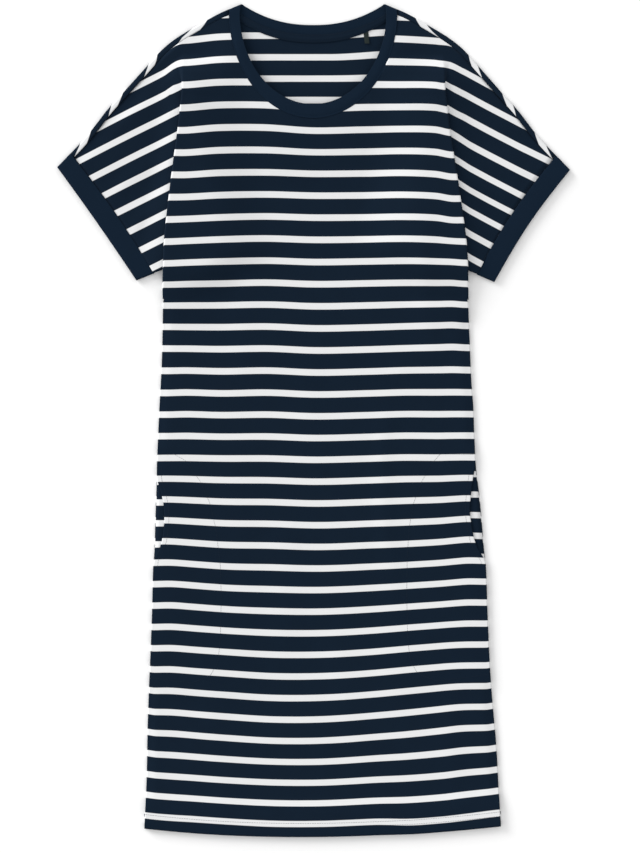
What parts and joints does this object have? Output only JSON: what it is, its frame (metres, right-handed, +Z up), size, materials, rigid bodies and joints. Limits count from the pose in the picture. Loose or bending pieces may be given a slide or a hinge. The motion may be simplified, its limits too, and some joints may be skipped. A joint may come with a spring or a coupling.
{
  "type": "nightshirt",
  "caption": "Knee-length striped jersey nightshirt with a round neckband, cut-on short sleeves with bands and side pockets, laid flat on its back",
  "frame": {"origin": "on the surface that the garment lies on, under the middle of its box", "axes": "+Y towards the neck, +X to the right of somebody who looks down on the front, +Z up from the surface"},
  "size_m": [0.6133, 1.0012, 0.0145],
  "materials": {
    "striped_jersey": "matte cotton jersey, navy with narrow off-white stripes across the body every 26 mm",
    "navy_trim": "matte plain navy jersey",
    "charcoal_tab": "matte woven tape"
  },
  "bodies": {
    "root": {"front": "striped_jersey", "back": "striped_jersey", "pocket_left": "striped_jersey", "pocket_right": "striped_jersey", "neckband": "navy_trim", "neck_tape": "navy_trim", "cuff_left": "navy_trim", "cuff_right": "navy_trim", "neck_tab": "charcoal_tab"}
  },
  "joints": []
}
